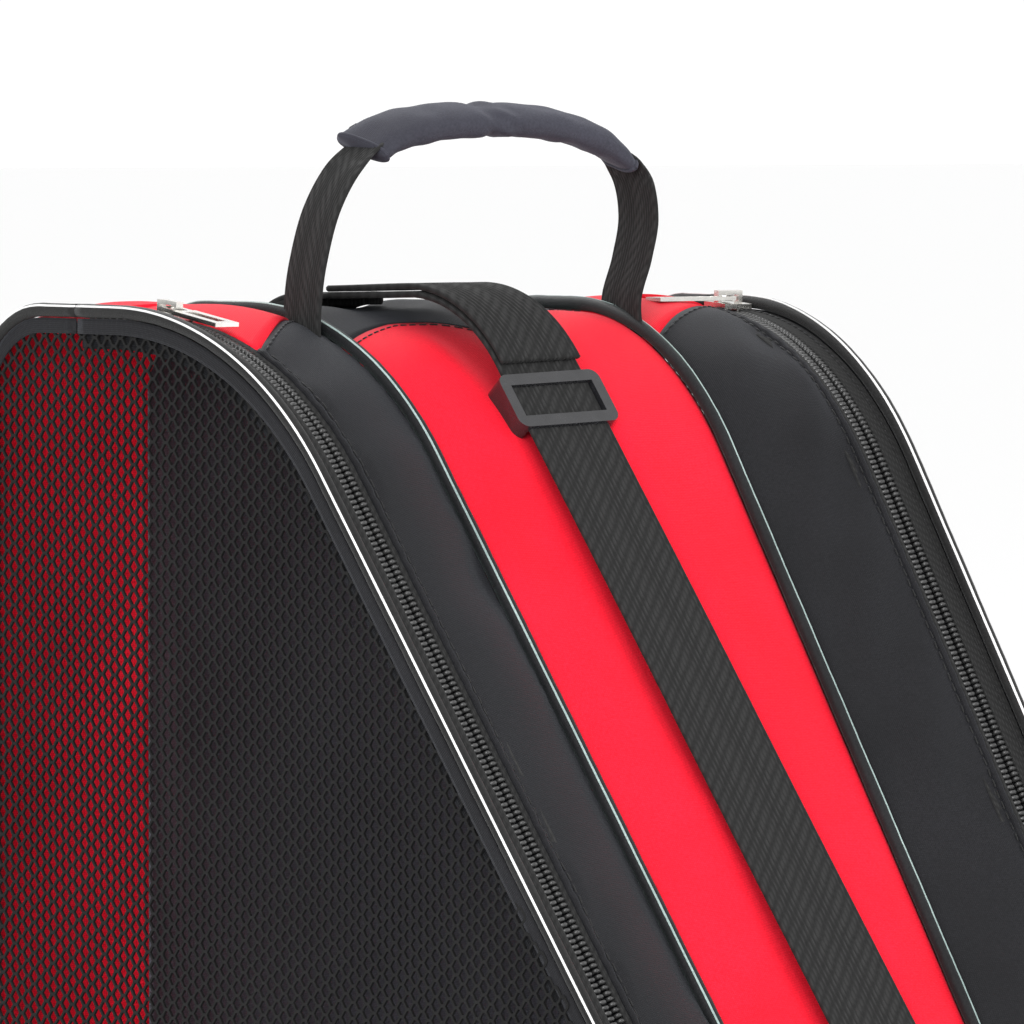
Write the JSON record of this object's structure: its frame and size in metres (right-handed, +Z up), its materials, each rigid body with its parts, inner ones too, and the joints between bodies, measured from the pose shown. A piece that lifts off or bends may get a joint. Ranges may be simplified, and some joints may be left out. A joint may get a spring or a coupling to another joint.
{
  "type": "skate bag",
  "caption": "Wedge-shaped carrier with side-by-side compartments, swinging mesh side doors on zips, a padded carry handle and a webbing shoulder strap with a sliding buckle.",
  "frame": {"origin": "centre of the whole bag's footprint box, on the surface that it stands on", "axes": "+Z up; -Y towards the low toe; +X across the bag, from its left mesh door to its right one"},
  "size_m": [0.2282, 0.3951, 0.448],
  "materials": {
    "red_cloth": "woven polyester oxford, matte",
    "black_cloth": "woven polyester oxford, matte",
    "mesh_cloth": "warp-knit polyester net with hexagonal holes",
    "webbing": "ribbed polypropylene webbing",
    "grip_cloth": "padded cloth wrap with a stitched closing seam",
    "outer_piping": "cord piping with a pale reflective line",
    "inner_piping": "cloth-covered cord piping",
    "zip_tape": "woven zip tape",
    "zip_teeth": "nylon coil teeth",
    "nickel": "nickel-plated zinc casting",
    "black_plastic": "moulded acetal",
    "stiffener": "polyethylene base board"
  },
  "bodies": {
    "bag": {"base_panel": "black_cloth", "crown_piping": "inner_piping", "base_board": "stiffener", "centre_top_panel": "black_cloth", "centre_front_panel": "red_cloth", "centre_back_frame": "red_cloth", "frame_teeth": "zip_teeth", "shoulder_strap": "webbing", "strap_doubling": "webbing", "strap_anchor_top": "webbing", "strap_anchor_toe": "webbing", "divider_left": "black_cloth", "gusset_front_left": "black_cloth", "gusset_top_left": "red_cloth", "gusset_back_left": "red_cloth", "inner_piping_left": "inner_piping", "rear_piping_left": "outer_piping", "rear_mesh_left": "mesh_cloth", "bag_tape_left": "zip_tape", "bag_teeth_left": "zip_teeth", "bag_stops_left": "nickel", "handle_foot_left": "webbing", "divider_right": "black_cloth", "gusset_front_right": "black_cloth", "gusset_top_right": "red_cloth", "gusset_back_right": "red_cloth", "inner_piping_right": "inner_piping", "rear_piping_right": "outer_piping", "rear_mesh_right": "mesh_cloth", "bag_tape_right": "zip_tape", "bag_teeth_right": "zip_teeth", "bag_stops_right": "nickel", "handle_foot_right": "webbing"},
    "handle": {"handle_webbing": "webbing", "handle_grip": "grip_cloth"},
    "tri_glide": {"tri_glide": "black_plastic"},
    "centre_flap": {"centre_flap": "red_cloth", "flap_teeth": "zip_teeth"},
    "flap_slider": {"flap_slider": "nickel"},
    "flap_tab": {"flap_pull_tab": "nickel"},
    "door_left": {"door_mesh_left": "mesh_cloth", "door_piping_left": "outer_piping", "door_binding_left": "black_cloth", "door_tape_left": "zip_tape", "door_teeth_left": "zip_teeth", "door_stops_left": "nickel"},
    "slider_left": {"slider_left": "nickel"},
    "tab_left": {"pull_tab_left": "nickel"},
    "door_right": {"door_mesh_right": "mesh_cloth", "door_piping_right": "outer_piping", "door_binding_right": "black_cloth", "door_tape_right": "zip_tape", "door_teeth_right": "zip_teeth", "door_stops_right": "nickel"},
    "slider_right": {"slider_right": "nickel"},
    "tab_right": {"pull_tab_right": "nickel"}
  },
  "joints": [
    {"name": "door_left_swing", "type": "hinge", "parent": "bag", "child": "door_left", "pos_m": [-0.11015, 0.14978, 0], "axis": [0, 0, -1], "range_deg": [0, 100]},
    {"name": "door_right_swing", "type": "hinge", "parent": "bag", "child": "door_right", "pos_m": [0.11015, 0.14978, 0], "axis": [0, 0, 1], "range_deg": [0, 100]},
    {"name": "slider_left_run", "type": "hinge", "parent": "bag", "child": "slider_left", "pos_m": [-0.09656, 0.1338, 0.28], "axis": [0.996, 0.0896, 0], "range_deg": [-1.5, 43]},
    {"name": "slider_right_run", "type": "hinge", "parent": "bag", "child": "slider_right", "pos_m": [0.09656, 0.1338, 0.28], "axis": [0.996, -0.0896, 0], "range_deg": [0, 45]},
    {"name": "tab_left_flip", "type": "hinge", "parent": "slider_left", "child": "tab_left", "pos_m": [-0.09569, 0.12406, 0.39177], "axis": [-0.996, -0.0896, 0], "range_deg": [0, 150]},
    {"name": "tab_right_flip", "type": "hinge", "parent": "slider_right", "child": "tab_right", "pos_m": [0.09599, 0.12737, 0.39201], "axis": [0.0896, 0.996, 0], "range_deg": [0, 150]},
    {"name": "handle_lean", "type": "hinge", "parent": "bag", "child": "handle", "pos_m": [0, 0.1177, 0.394], "axis": [1, 0, 0], "range_deg": [-45, 45]},
    {"name": "tri_glide_slide", "type": "slide", "parent": "bag", "child": "tri_glide", "axis": [0.0468, -0.624, -0.78], "range_m": [0, 0.184]},
    {"name": "centre_flap_swing", "type": "hinge", "parent": "bag", "child": "centre_flap", "pos_m": [0, 0.1925, 0.014], "axis": [-1, 0, 0], "range_deg": [0, 85]},
    {"name": "flap_slider_run", "type": "slide", "parent": "centre_flap", "child": "flap_slider", "axis": [0, 0, 1], "range_m": [0, 0.255]},
    {"name": "flap_tab_flip", "type": "hinge", "parent": "flap_slider", "child": "flap_tab", "pos_m": [0.0444, 0.1953, 0.046], "axis": [1, 0, 0], "range_deg": [0, 150]}
  ]
}
